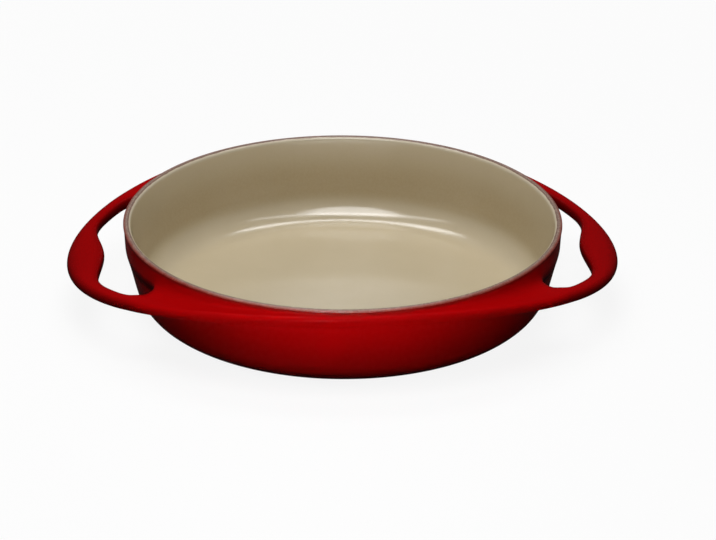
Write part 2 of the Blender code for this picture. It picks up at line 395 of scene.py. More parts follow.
    def _root(self, angle: float, inner: float, flare_share: float) -> dict[str, Point]:
        """Lay the rings where the plate grows out of the wall.

        Args:
            angle: Azimuth of the column.
            inner: Radius of the plate's inner edge there.
            flare_share: Share of the hollow rounding that this column has.

        Returns:
            Places of the rings, by name.
        """
        half = self.thickness / 2
        groove = self.bowl.section()["groove"]
        wall = self.bowl.wall_radius(self.depth_at(groove[0], angle))
        root_depth = self.depth_at(wall, angle) - half
        fillet = min(self.root_fillet, self.fillet_drop_share * (root_depth - groove[1]),
                     self.fillet_reach_share * (inner - wall))
        flare = fillet * flare_share
        top_depth = root_depth - fillet
        middle_depth = root_depth - fillet * QUARTER_MIDDLE
        under_depth = self.depth_at(wall, angle) + half + self.heel
        return {
            "hollow_top": (self.bowl.wall_radius(top_depth), top_depth),
            "hollow_middle": (self.bowl.wall_radius(middle_depth) + flare * QUARTER_MIDDLE,
                              middle_depth),
            "root": (self.bowl.wall_radius(root_depth) + flare,
                     self.depth_at(wall + flare, angle) - half),
            "under_root": (self.bowl.wall_radius(under_depth), under_depth),
        }


@dataclass
class DishSkin:
    """The finished outer surface of the dish as one smooth closed skin."""

    bowl: Bowl
    plate: HandlePlate
    smoothing: int = 2
    base_strips: int = 2
    edge_fade_columns: int = 4
    edge_wear_and_shade_rest: float = 0.42
    gap_end_wear_and_shade: float = 0.6
    rings: list[Ring] = field(init=False)

    def __post_init__(self) -> None:
        """List the rings from the middle of the cooking floor to the middle of the base."""
        steps = range(self.bowl.fillet_steps + 1)
        first_base = self.bowl.fillet_steps - self.base_strips
        inside = ["floor_pole", "floor_middle", "floor_edge"] + ["floor_%d" % s for s in steps]
        base = ["base_%d" % s for s in steps]
        # Edge values: exposure to wear, and on the red coat also painted shade on rounded edges,
        # undersides and the gap lining.
        edges = {
            Coat.INTERIOR: {**dict.fromkeys(inside, 0.0), "wall_top": 0.0, "inner_wall": 0.5,
                            "lip_inner": 1.0},
            Coat.RIM: {"lip_top_inner": 0.7, "lip_middle": 0.5, "lip_top_outer": 0.7,
                       "lip_shoulder": 1.0, "lip_outer": 0.6},
            Coat.EXTERIOR: {"groove": 0.0, "hollow_top": 0.0, "hollow_middle": 0.0, "root": 0.0,
                            "grip_inner": 0.9, "grip_crest_inner": 0.5, "grip_crest_middle": 0.0,
                            "grip_crest_outer": 0.5, "grip_outer": 0.8, "nose": 1.0,
                            "under_outer": 0.8, "under_crest_outer": 0.2,
                            "under_crest_middle": 0.0, "under_crest_inner": 0.2,
                            "under_inner": 0.8, "under_root": 0.0,
                            **dict.fromkeys(base[:first_base + 1], 0.0)},
            Coat.BASE: dict.fromkeys(
                base[first_base + 1:] + ["base_edge", "base_middle", "base_pole"], 0.0),
        }
        gap_rings = {"grip_inner", "grip_crest_inner", "under_crest_inner", "under_inner"}
        self.rings = [Ring(name, coat, edge, gap_only=name in gap_rings)
                      for coat, rings in edges.items() for name, edge in rings.items()]

    def _layers(self, cage: Shape) -> tuple[bmesh.types.BMLayerItem, ...]:
        """Return the layers with every vertex's ring, column and edge."""
        whole = cage.verts.layers.int
        return whole["ring"], whole["column"], cage.verts.layers.float["edge"]

    def _place(self, place: Point, angle: float) -> Vector:
        """Find the point of the dish at a ring's place.

        Args:
            place: The place, as (radius from the axis, depth).
            angle: An azimuth.

        Returns:
            The point.
        """
        radius, depth = place
        return Vector((radius * math.cos(angle), radius * math.sin(angle),
                       self.bowl.height - depth))

    def _turn(self) -> Shape:
        """Turn one column of rings into a closed skin, with ring and column in layers.

        Returns:
            The turned cage, whose plate is still round.
        """
        cage = bmesh.new()
        cage.verts.layers.int.new("ring")
        cage.verts.layers.int.new("column")
        cage.verts.layers.float.new("edge")
        ring_of, column_of, edge_of = self._layers(cage)
        places = {**self.bowl.section(), **self.plate.section(0)}
        chain = []
        for number, ring in enumerate(self.rings):
            vert = cage.verts.new(self._place(places[ring.name], 0.0))
            vert[ring_of] = number
            vert[edge_of] = ring.edge
            chain.append(vert)
        seams = [cage.edges.new(pair) for pair in zip(chain, chain[1:])]
        bmesh.ops.spin(cage, geom=chain + seams, cent=(0.0, 0.0, 0.0), axis=(0.0, 0.0, 1.0),
                       angle=2.0 * math.pi, steps=self.plate.columns, use_merge=True)
        step = 2.0 * math.pi / self.plate.columns
        for vert in cage.verts:
            turned = round(math.atan2(vert.co.y, vert.co.x) / step)
            vert[column_of] = turned % self.plate.columns
        poles = [edge for edge in cage.edges if edge.is_boundary]
        bmesh.ops.holes_fill(cage, edges=poles, sides=0)
        return cage

    def _draw_out(self, cage: Shape) -> None:
        """Move every ring to its place, with edges marked for wear and painted shade mostly
        around the handles.

        Args:
            cage: The turned cage.
        """
        ring_of, column_of, edge_of = self._layers(cage)
        turned = self.bowl.section()
        columns = [{**turned, **self.plate.section(c)} for c in range(self.plate.columns)]
        for vert in cage.verts:
            column = vert[column_of]
            ring = self.rings[vert[ring_of]]
            vert.co = self._place(columns[column][ring.name], self.plate.column_angle(column))
            # Past the finger gaps the outer rings keep part of their edge value, which paints
            # shade along the collar's nose and underside on the red coat.
            past = self.plate.fold_column(column) - self.plate.gap_columns
            if ring.coat is Coat.EXTERIOR and past > 0:
                left = max(self.edge_wear_and_shade_rest, 1.0 - past / self.edge_fade_columns)
                vert[edge_of] *= 0.0 if ring.gap_only else left

    def _cut_finger_gaps(self, cage: Shape) -> None:
        """Open both finger gaps through the plate and line them with a rounded edge.

        Args:
            cage: The cage with its rings in place.
        """
        ring_of, column_of, edge_of = self._layers(cage)
        cut = ({"root", "grip_inner"}, {"under_inner", "under_root"})
        doomed = [
            face for face in cage.faces
            if {self.rings[vert[ring_of]].name for vert in face.verts} in cut
            and all(self.plate.fold_column(vert[column_of]) <= self.plate.gap_columns
                    for vert in face.verts)
        ]
        bmesh.ops.delete(cage, geom=doomed, context="FACES")
        wall_side = ("root", "under_root")
        # At each gap's end the wall's rings are marked as well, which paints shade into the gap's
        # corners on the red coat.
        for vert in cage.verts:
            at_end = self.plate.fold_column(vert[column_of]) == self.plate.gap_columns
            if at_end and self.rings[vert[ring_of]].name in wall_side:
                vert[edge_of] = self.gap_end_wear_and_shade
        middle = (self.bowl.rim_radius + self.plate.handle_reach - self.plate.grip_width) / 2
        for side in (-1.0, 1.0):
            rim = [edge for edge in cage.edges
                   if edge.is_boundary and edge.verts[0].co.x * side > 0.0]
            lining = bmesh.ops.bridge_loops(cage, edges=rim)
            split = bmesh.ops.subdivide_edges(cage, edges=lining["edges"], cuts=1,
                                              use_grid_fill=True)
            added = {item for item in split["geom_inner"] if isinstance(item, bmesh.types.BMVert)}
            for vert in added:
                at_end = self.plate.fold_column(vert[column_of]) == self.plate.gap_columns
                if self.rings[vert[ring_of]].name in wall_side and not at_end:
                    continue
                inward = Vector((side * middle - vert.co.x, -vert.co.y, 0.0)).normalized()
                vert.co += inward * self.plate.edge_round * self.plate.edge_share
                vert[edge_of] = 1.0

    def _mark_coats(self, cage: Shape) -> None:
        """Give every face the number of the coat that it belongs to.

        Args:
            cage: The finished cage.
        """
        ring_of = self._layers(cage)[0]
        for face in cage.faces:
            last = max(vert[ring_of] for vert in face.verts)
            face.material_index = self.rings[last].coat.number

    def smoothed(self) -> bpy.types.Mesh:
        """Make the cage and smooth it as a whole, so that the coats meet without a step.

        Returns:
            The skin, whose material indices are the coats' numbers.
        """
        cage = self._turn()
        self._draw_out(cage)
        self._cut_finger_gaps(cage)
        self._mark_coats(cage)
        bmesh.ops.recalc_face_normals(cage, faces=cage.faces[:])
        holder = add_mesh("dish_cage", cage)
        smoothing = holder.modifiers.new("smoothing", "SUBSURF")
        smoothing.levels = smoothing.render_levels = self.smoothing
        depsgraph = bpy.context.evaluated_depsgraph_get()
        skin = bpy.data.meshes.new_from_object(holder.evaluated_get(depsgraph),
                                               preserve_all_data_layers=True,
                                               depsgraph=depsgraph)
        bpy.data.objects.remove(holder)
        return skin


class NodeTree:
    """A material's or group's node tree, with short ways to add and join its nodes."""

    def __init__(self, tree: bpy.types.NodeTree) -> None:
        """Take the tree that nodes are added to."""
        self.tree = tree

    def add(self, kind: str, inputs: Mapping[str | int, Value] | None = None,
            **settings: object) -> bpy.types.Node:
        """Add a node.

        Args:
            kind: Blender's name for the kind of node.
            inputs: Values or sockets that feed the node's inputs, by name or number.
            **settings: Attributes of the node.

        Returns:
            The node.
        """
        node = self.tree.nodes.new(kind)
        for name, setting in settings.items():
            setattr(node, name, setting)
        for name, value in (inputs or {}).items():
            self.feed(node.inputs[name], value)
        return node

    def feed(self, socket: Socket, value: Value) -> None:
        """Set an input's value, with colours opaque, or join a socket to it.

        Args:
            socket: The input.
            value: The value or the socket that feeds it.
        """
        if isinstance(value, Socket):
            self.tree.links.new(value, socket)
        else:
            socket.default_value = (*value, 1.0) if isinstance(value, tuple) else value

    def math(self, operation: str, *values: Number) -> Socket:
        """Return the result of a Math node on the values."""
        return self.add("ShaderNodeMath", dict(enumerate(values)), operation=operation).outputs[0]

    def times(self, first: Number, second: Number) -> Socket:
        """Return the product of two values."""
        return self.math("MULTIPLY", first, second)

    def plus(self, first: Number, second: Number) -> Socket:
        """Return the sum of two values."""
        return self.math("ADD", first, second)

    def minus(self, first: Number, second: Number) -> Socket:
        """Return the first value less the second."""
        return self.math("SUBTRACT", first, second)

    def noise(self, vector: Value, scale: Number, detail: float = 2.0,
              roughness: float = 0.5) -> Socket:
        """Add a noise texture.

        Args:
            vector: Where it is sampled.
            scale: Its scale.
            detail: Number of its finer layers.
            roughness: Strength of the finer layers.

        Returns:
            Its value.
        """
        node = self.add("ShaderNodeTexNoise", {"Vector": vector, "Scale": scale,
                                               "Detail": detail, "Roughness": roughness})
        return node.outputs["Fac"]

    def remap(self, value: Number, low: Number, high: Number, to_low: Number = 0.0,
              to_high: Number = 1.0, smooth: bool = False) -> Socket:
        """Map a value from one range to another and hold it within that.

        Args:
            value: The value.
            low: Value that gives the first result.
            high: Value that gives the second result.
            to_low: First result.
            to_high: Second result.
            smooth: Whether both ends are eased.

        Returns:
            The result.
        """
        node = self.add("ShaderNodeMapRange", {"Value": value, "From Min": low,
                                               "From Max": high, "To Min": to_low,
                                               "To Max": to_high},
                        interpolation_type="SMOOTHSTEP" if smooth else "LINEAR")
        return node.outputs["Result"]

    def blend(self, share: Number, first: Value, second: Value) -> Socket:
        """Mix two colours.

        Args:
            share: Share of the second colour, from 0 to 1.
            first: First colour.
            second: Second colour.

        Returns:
            The mixed colour.
        """
        node = self.add("ShaderNodeMix", {0: share, MIX_FIRST: first, MIX_SECOND: second},
                        data_type="RGBA", clamp_factor=True)
        return node.outputs[MIX_RESULT]

    def place(self) -> Socket:
        """Return the object's own coordinates."""
        return self.add("ShaderNodeTexCoord").outputs["Object"]

    def reach(self, place: Socket) -> tuple[Socket, Socket]:
        """Measure a place against the dish.

        Args:
            place: The object's own coordinates.

        Returns:
            The distance from the dish's axis and the height above the table.
        """
        apart = self.add("ShaderNodeSeparateXYZ", {"Vector": place}).outputs
        flat = self.add("ShaderNodeCombineXYZ", {"X": apart["X"], "Y": apart["Y"]})
        length = self.add("ShaderNodeVectorMath", {0: flat.outputs["Vector"]},
                          operation="LENGTH")
        return length.outputs["Value"], apart["Z"]


class SurfaceEffects:
    """Builder of the node groups that several finishes share."""

    wave_scale = 0.11               # the waves' scale against that of the orange peel
    least_speck = 0.4               # smallest speck against the given radius
    speck_core = 0.5                # share of a speck's radius that is fully covered
    wear_and_shade_scale = 160.0              # scale of the noise at the border of an edge's wear and painted shade
    bend_scale, bend_size = 18.0, 0.006     # of the noise that bends the scuffs
    scuff_ends = (0.56, 0.66)       # noise at which a scuff starts and is full
    patch_scale = 60.0              # scale of the patches that have scuffs
    patch_ends = (0.45, 0.65)       # noise at which a patch starts and is full

    def build(self) -> None:
        """Build every group, which is found by its name from then on."""
        self._group("enamel_ripple", self._ripple, Size=0.0016, Waves=0.6)
        self._group("enamel_specks", self._specks, Spacing=0.004, Radius=0.1, Filled=0.4)
        self._group("tone_drift", self._drift, Size=0.05)
        self._group("edge_wear_and_shade", self._wear_and_shade, Edge=0.0, Start=0.45, Raggedness=0.25)
        self._group("turning_scuffs", self._scuffs, Spacing=0.0012, Amount=0.5)

    def _group(self, name: str, build: Callable[[NodeTree, Given], Socket],
               **inputs: float) -> None:
        """Make a node group that works at a place on the object.

        Args:
            name: Name of the group.
            build: Adds the group's nodes and returns what the group puts out.
            **inputs: Default of every other input.
        """
        group = bpy.data.node_groups.new(name, "ShaderNodeTree")
        sockets = group.interface
        sockets.new_socket("Place", in_out="INPUT", socket_type="NodeSocketVector")
        for label, default in inputs.items():
            socket = sockets.new_socket(label, in_out="INPUT", socket_type="NodeSocketFloat")
            socket.default_value = default
        sockets.new_socket("Value", in_out="OUTPUT", socket_type="NodeSocketFloat")
        tree = NodeTree(group)
        given = tree.add("NodeGroupInput").outputs
        tree.add("NodeGroupOutput", {"Value": build(tree, given)})

    def _ripple(self, tree: NodeTree, given: Given) -> Socket:
        """Build the height of fired enamel: a fine orange peel over long, flat waves.

        Args:
            tree: The group's nodes.
            given: The group's inputs by name.

        Returns:
            The height.
        """
        scale = tree.math("DIVIDE", 1.0, given["Size"])
        peel = tree.noise(given["Place"], scale, detail=1.5)
        waves = tree.noise(given["Place"], tree.times(scale, self.wave_scale), detail=1.0)
        fine = tree.times(peel, tree.minus(1.0, given["Waves"]))
        return tree.plus(tree.times(waves, given["Waves"]), fine)

    def _specks(self, tree: NodeTree, given: Given) -> Socket:
        """Build small round specks, with only some of the cells filled.

        Args:
            tree: The group's nodes.
            given: The group's inputs by name.

        Returns:
            Where the specks are, from 0 to 1.
        """
        scale = tree.math("DIVIDE", 1.0, given["Spacing"])
        cells = tree.add("ShaderNodeTexVoronoi", {"Vector": given["Place"],
                                                  "Scale": scale}).outputs
        chance = tree.add("ShaderNodeSeparateColor", {0: cells["Color"]}).outputs
        size = tree.times(given["Radius"], tree.plus(self.least_speck, chance["Green"]))
        spot = tree.remap(cells["Distance"], size, tree.times(size, self.speck_core))
        return tree.times(spot, tree.math("LESS_THAN", chance["Red"], given["Filled"]))

    def _drift(self, tree: NodeTree, given: Given) -> Socket:
        """Build a slow change of tone over a surface.

        Args:
            tree: The group's nodes.
            given: The group's inputs by name.

        Returns:
            The tone, from 0 to 1.
        """
        slow = tree.noise(given["Place"], tree.math("DIVIDE", 1.0, given["Size"]),
                          detail=3.0, roughness=0.55)
        return tree.remap(slow, *NOISE_ENDS, smooth=True)

    def _wear_and_shade(self, tree: NodeTree, given: Given) -> Socket:
        """Build enamel that is thin over an edge, with a ragged border; the red finish also
        paints shade with it.

        Args:
            tree: The group's nodes.
            given: The group's inputs by name.

        Returns:
            How strongly the edge shows, from 0 to 1.
        """
        rough = tree.noise(given["Place"], self.wear_and_shade_scale, detail=4.0, roughness=0.6)
        shift = tree.times(tree.minus(rough, NOISE_MIDDLE), given["Raggedness"])
        return tree.remap(tree.plus(given["Edge"], shift), given["Start"], 1.0, smooth=True)

    def _scuffs(self, tree: NodeTree, given: Given) -> Socket:
        """Build fine curved scuffs, as a turned dish gets on a shelf or hob.

        Args:
            tree: The group's nodes.
            given: The group's inputs by name.

        Returns:
            Where the scuffs are, from 0 to 1.
        """
        place = given["Place"]
        bend = tree.times(tree.noise(place, self.bend_scale), self.bend_size)
        bent = tree.plus(tree.reach(place)[0], bend)
        ring = tree.add("ShaderNodeTexNoise",
                        {"W": tree.math("DIVIDE", bent, given["Spacing"]),
                         "Scale": 1.0, "Detail": 2.0}, noise_dimensions="1D")
        patch = tree.remap(tree.noise(place, self.patch_scale, detail=3.0), *self.patch_ends,
                           smooth=True)
        line = tree.remap(ring.outputs["Fac"], *self.scuff_ends)
        return tree.times(tree.times(line, patch), given["Amount"])


@dataclass(frozen=True)
class Wander:
    """A noise that makes a border uneven."""

    scale: float
    detail: float
    size: float


class Surface(NodeTree):
    """A material's nodes, with the masks that its layers need."""

    def __init__(self, tree: bpy.types.NodeTree) -> None:
        """Take the tree that nodes are added to."""
        super().__init__(tree)
        self.at = self.place()

    def effect(self, name: str, **inputs: Number) -> Socket:
        """Return what a shared group puts out at the object's own coordinates."""
        return self.add("ShaderNodeGroup", {"Place": self.at, **inputs},
                        node_tree=bpy.data.node_groups[name]).outputs[0]

    def grain(self, scale: float, detail: float = 2.0, roughness: float = 0.5,
              ends: Point = NOISE_ENDS, smooth: bool = False) -> Socket:
        """Return a noise, of which one end gives 0 and the other 1."""
        return self.remap(self.noise(self.at, scale, detail, roughness), *ends, smooth=smooth)

    def wear_and_edge_shade(self, start: float) -> Socket:
        """Return where enamel is thin over edges, and on the red coat where edges get painted
        shade: from a start on, between flats at 0 and edges at 1.
        """
        edge = self.add("ShaderNodeAttribute", attribute_name="edge").outputs["Fac"]
        return self.effect("edge_wear_and_shade", Edge=edge, Start=start)

    def rubbed_ring(self, radius: float, strength: float) -> Socket:
        """Build a patchy ring where the dish stands.

        Args:
            radius: Radius of the ring's middle.
            strength: How much of the ground coat shows in the patches.

        Returns:
            Where it is, from 0 to the strength.
        """
        ring = self.band(ends=(0.006, 0.001), radial=True, around=radius, smooth=True)
        patches = self.grain(scale=75.0, detail=4.0, ends=(0.4, 0.65))
        return self.times(self.times(ring, patches), strength)

    def band(self, ends: Point, wander: Wander | None = None, radial: bool = False,
             around: float = 0.0, smooth: bool = False) -> Socket:
        """Return where the height above the table is in a range.

        Args:
            ends: The measures that give 0 and 1.
            wander: What makes the borders uneven.
            radial: Whether the distance from the axis counts instead of the height.
            around: Measure from which the distance counts instead, if not 0.
            smooth: Whether it fades in smoothly.

        Returns:
            The mask, from 0 to 1.
        """
        level = self.reach(self.at)[0 if radial else 1]
        if wander:
            shift = self.minus(self.noise(self.at, wander.scale, wander.detail), NOISE_MIDDLE)
            level = self.plus(level, self.times(shift, wander.size))
        if around:
            level = self.math("ABSOLUTE", self.minus(level, around))
        return self.remap(level, *ends, smooth=smooth)


@dataclass(frozen=True)
class Layer:
    """Something that lies over a finish.

    Args:
        mask: Adds the nodes that say where it shows.
        colour: Its colour, if it has one.
        share: How much its colour covers where the mask is 1.
        rough: What it adds to the roughness there.
    """

    mask: Callable[[Surface], Socket]
    colour: Colour | None = None
    share: float = 1.0
    rough: float = 0.0


@dataclass(frozen=True)
class Finish:
    """A finish of the dish.

    Args:
        name: Name of the material.
        colour: Colour under all layers.
        roughness: Roughness under all layers.
        specular: Strength of the mirroring.
        peel_size: Size of the orange peel.
        peel_height: Height of the orange peel.
        layers: What lies over it, from the lowest up.
    """

    name: str
    colour: Colour
    roughness: float
    specular: float
    peel_size: float
    peel_height: float
    layers: tuple[Layer, ...]

    def material(self) -> bpy.types.Material:
        """Build the material.

        Returns:
            The material, with every layer over its first colour and roughness.
        """
        material = bpy.data.materials.new(self.name)
        material.use_nodes = True
        surface = Surface(material.node_tree)
        bump = surface.add("ShaderNodeBump", {
            "Height": surface.effect("enamel_ripple", Size=self.peel_size),
            "Strength": 1.0, "Distance": self.peel_height})
        colour, roughness = self.colour, self.roughness
        for layer in self.layers:
            mask = layer.mask(surface)
            if layer.colour:
                colour = surface.blend(surface.times(mask, layer.share), colour, layer.colour)
            if layer.rough:
                roughness = surface.plus(roughness, surface.times(mask, layer.rough))
        inputs = material.node_tree.nodes["Principled BSDF"].inputs
        for name, value in (("Specular IOR Level", self.specular), ("Base Color", colour),
                            ("Roughness", roughness), ("Normal", bump.outputs["Normal"])):
            surface.feed(inputs[name], value)
        return material


# Red of thin enamel, which on edges also stands for painted shade.
THIN_AND_SHADED_RED: Colour = (0.120, 0.0008, 0.0010)
DARK_RED: Colour = (0.012, 0.0006, 0.0008)
PALE_SAND: Colour = (0.620, 0.530, 0.370)
RED_WANDER = Wander(scale=220.0, detail=3.0, size=0.0010)
LIP_WANDER = Wander(scale=190.0, detail=2.0, size=0.0008)
BASE_WANDER = Wander(scale=90.0, detail=3.0, size=0.0012)
FOOT_POWER = 0.8                            # below 1, the darkening towards the foot, partly painted shade, rises early


@dataclass(frozen=True)
class RedEnamel(Finish):
    """Glossy red enamel: clouded and speckled, with thin edges darkened further as painted shade,
    painted shade in the crease under the lip, a foot darkened partly as painted shade, and a
    painted contact shadow along the table.
    """

    name: str = "red_enamel"
    colour: Colour = (0.368, 0.0008, 0.0016)
    roughness: float = 0.19
    specular: float = 0.015
    peel_size: float = 0.0016
    peel_height: float = 0.00003
    layers: tuple[Layer, ...] = (
        Layer(lambda on: on.grain(scale=900.0, ends=(0.2, 0.8)), rough=0.07),
        Layer(lambda on: on.effect("turning_scuffs", Amount=0.03), rough=1.0),
        Layer(lambda on: on.effect("tone_drift", Size=0.055),
              colour=(0.320, 0.0006, 0.0012), share=0.45),
        Layer(lambda on: on.effect("enamel_specks", Spacing=0.0042, Radius=0.05, Filled=0.35),
              colour=THIN_AND_SHADED_RED, share=0.35),
        # Thin enamel over edges, darkened further as painted shade on the plate's rounded edges
        # and underside.
        Layer(lambda on: on.wear_and_edge_shade(start=0.15), colour=THIN_AND_SHADED_RED, share=0.75, rough=0.10),
        # Painted shade in the crease under the lip, a foot darkened partly by the enamel's own
        # grade and partly as painted shade, and a painted contact shadow on the last strip above
        # the table.
        Layer(lambda on: on.band(ends=(0.0515, 0.0525), wander=RED_WANDER, smooth=True),
              colour=(0.120, 0.0150, 0.0110), share=0.4),
        Layer(lambda on: on.math(
            "POWER", on.band(ends=(0.0405, -0.0005), wander=RED_WANDER), FOOT_POWER),
              colour=(0.032, 0.0008, 0.0010), share=0.96),
        Layer(lambda on: on.band(ends=(0.0120, 0.0030), wander=RED_WANDER, smooth=True),
              colour=(0.006, 0.0005, 0.0006), share=0.92),
    )


@dataclass(frozen=True)
class SandEnamel(Finish):
    """Satin sand-coloured enamel: clouded, grainy and speckled, pale at the lip, with painted
    shade on the lower wall.
    """

    name: str = "sand_enamel"
    colour: Colour = (0.570, 0.484, 0.330)
    roughness: float = 0.15
    specular: float = 1.0
    peel_size: float = 0.0020
    peel_height: float = 0.00002
    layers: tuple[Layer, ...] = (
        Layer(lambda on: on.grain(scale=130.0, detail=3.0), rough=0.06),
        Layer(lambda on: on.effect("turning_scuffs", Amount=0.04, Spacing=0.0018), rough=1.0),
        Layer(lambda on: on.effect("tone_drift", Size=0.045),
              colour=(0.520, 0.438, 0.294), share=0.40),
        # Painted shade: darker on the lower inner wall, fading up towards the lip.
        Layer(lambda on: on.times(on.band(ends=(0.012, 0.022), smooth=True),
                                  on.band(ends=(0.054, 0.028), smooth=True)),
              colour=(0.400, 0.308, 0.166), share=0.85),
        Layer(lambda on: on.grain(scale=700.0, detail=3.0, roughness=0.7, ends=(0.35, 0.75)),
              colour=PALE_SAND, share=0.16),
        Layer(lambda on: on.effect("enamel_specks", Spacing=0.0021, Radius=0.10, Filled=0.25),
              colour=PALE_SAND, share=0.12),
        Layer(lambda on: on.effect("enamel_specks", Spacing=0.0034, Radius=0.060, Filled=0.30),
              colour=(0.300, 0.220, 0.120), share=0.30),
        Layer(lambda on: on.wear_and_edge_shade(start=0.30), colour=(0.620, 0.550, 0.420), share=0.8),
    )


@dataclass(frozen=True)
class LipEnamel(Finish):
    """Matt grey-brown ground coat of the lip: mottled, and rubbed bare in places."""

    name: str = "grey_enamel"
    colour: Colour = (0.215, 0.142, 0.112)
    roughness: float = 0.18
    specular: float = 0.35
    peel_size: float = 0.0012
    peel_height: float = 0.00002
    layers: tuple[Layer, ...] = (
        Layer(lambda on: on.grain(scale=1400.0, detail=3.0, roughness=0.65),
              colour=(0.330, 0.222, 0.178), rough=0.14),
        Layer(lambda on: on.grain(scale=260.0, detail=3.0, ends=(0.52, 0.66), smooth=True),
              colour=(0.430, 0.300, 0.240), share=0.45),
        # Dark at the seam, and lapped by the red coat from outside and the sand coat from
        # inside.
        Layer(lambda on: on.band(ends=(0.0006, 0.0002), wander=LIP_WANDER, radial=True,
                                 around=0.1289),
              colour=(0.165, 0.100, 0.075), share=0.6),
        Layer(lambda on: on.band(ends=(0.1299, 0.1319), wander=LIP_WANDER, radial=True),
              colour=(0.250, 0.016, 0.010)),
        Layer(lambda on: on.band(ends=(0.12855, 0.12825), wander=LIP_WANDER, radial=True),
              colour=(0.590, 0.510, 0.380), rough=-0.12),
    )


@dataclass(frozen=True)
class BaseEnamel(Finish):
    """Satin dark red enamel of the underside: clouded, scuffed and rubbed in a ring."""

    name: str = "base_enamel"
    colour: Colour = (0.075, 0.0060, 0.0060)
    roughness: float = 0.36
    specular: float = 0.06
    peel_size: float = 0.0022
    peel_height: float = 0.00006
    layers: tuple[Layer, ...] = (
        Layer(lambda on: on.effect("tone_drift", Size=0.03), colour=DARK_RED, share=0.35),
        # The ring that the dish stands on and the scuffs from sliding, then near-black from 1.6
        # mm up, to meet the painted contact shadow at the wall's foot.
        Layer(lambda on: on.math("MAXIMUM", on.rubbed_ring(radius=0.0990, strength=0.6),
                                 on.effect("turning_scuffs", Amount=0.7)),
              colour=(0.150, 0.0900, 0.0820), rough=0.18),
        Layer(lambda on: on.band(ends=(0.0004, 0.0016), wander=BASE_WANDER, smooth=True),
              colour=DARK_RED, rough=-0.14),
    )


@dataclass(frozen=True)
class CastIron(Finish):
    """Rough sand-cast iron under the enamel, dark in the pits that the sand leaves."""

    name: str = "cast_iron"
    colour: Colour = (0.060, 0.057, 0.055)
    roughness: float = 0.76
    specular: float = 0.5
    peel_size: float = 0.0006
    peel_height: float = 0.00012
    layers: tuple[Layer, ...] = (
        Layer(lambda on: on.grain(scale=1100.0, detail=4.0, roughness=0.7), rough=-0.20),
        Layer(lambda on: on.math(
            "MAXIMUM", on.grain(scale=1100.0, detail=4.0, roughness=0.7, ends=(0.62, 0.40)),
            on.effect("enamel_specks", Spacing=0.0016, Radius=0.18, Filled=0.5)),
              colour=(0.022, 0.018, 0.016)),
    )


@dataclass(frozen=True)
class EnamelCoat:
    """One enamel coat: the skin's faces of its colour with the thickness of a coat."""

    coat: Coat
    slot: str
    finish: Finish
    thickness: float = 0.0005

    def build(self, skin: bpy.types.Mesh) -> bpy.types.Object:
        """Cut the coat out of the skin, thicken it inwards and dress it.

        Args:
            skin: The finished surface of the whole dish.

        Returns:
            The coat, which stands for the CAD node of its name.
        """
        cut = bmesh.new()
        cut.from_mesh(skin)
        others = [face for face in cut.faces if face.material_index != self.coat.number]
        bmesh.ops.delete(cut, geom=others, context="FACES")
        for face in cut.faces:
            face.material_index = 0
            face.smooth = True
        for edge in cut.edges:
            edge.smooth = not edge.is_boundary
        piece = add_mesh(self.coat.value + "_coat", cut)
        shell = piece.modifiers.new("thickness", "SOLIDIFY")
        shell.thickness = self.thickness
        shell.offset = -1.0
        shell.use_even_offset = True
        shell.use_rim = True
        piece.data.materials.append(self.finish.material())
        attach(piece, ROOT_BODY)
        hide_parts(self.coat.value)
        return piece


@dataclass(frozen=True)
class Lamp:
    """A soft studio lamp.

    Args:
        name: What the lamp is for.
        azimuth: Direction it shines from, in degrees: 0 is in front, 90 is +X.
        elevation: Height of that direction, in degrees.
        distance: Distance from the dish.
        width: Width of its face.
        height: Height of its face.
        power: Radiant power in watts.
        spread: Angle that a grid holds its light to, in degrees.
        aside: How far it hangs from that direction along X.
    """

    name: str
    azimuth: float
    elevation: float
    distance: float
    width: float
    height: float
    power: float
    spread: float = 180.0
    aside: float = 0.0

    def build(self, target: Vector) -> bpy.types.Object:
        """Hang the lamp so that it faces the target's row.

        Args:
            target: Point that it hangs around.

        Returns:
            The lamp.
        """
        away = direction(math.radians(self.azimuth), math.radians(self.elevation))
        light = bpy.data.lights.new(self.name, "AREA")
        light.shape = "ELLIPSE"
        light.size, light.size_y = self.width, self.height
        light.energy = self.power
        light.spread = math.radians(self.spread)
        lamp = add_object(self.name, light)
        lamp.location = target + away * self.distance + Vector((self.aside, 0.0, 0.0))
        lamp.rotation_euler = away.to_track_quat("Z", "Y").to_euler()
        lamp.visible_camera = False
        return lamp


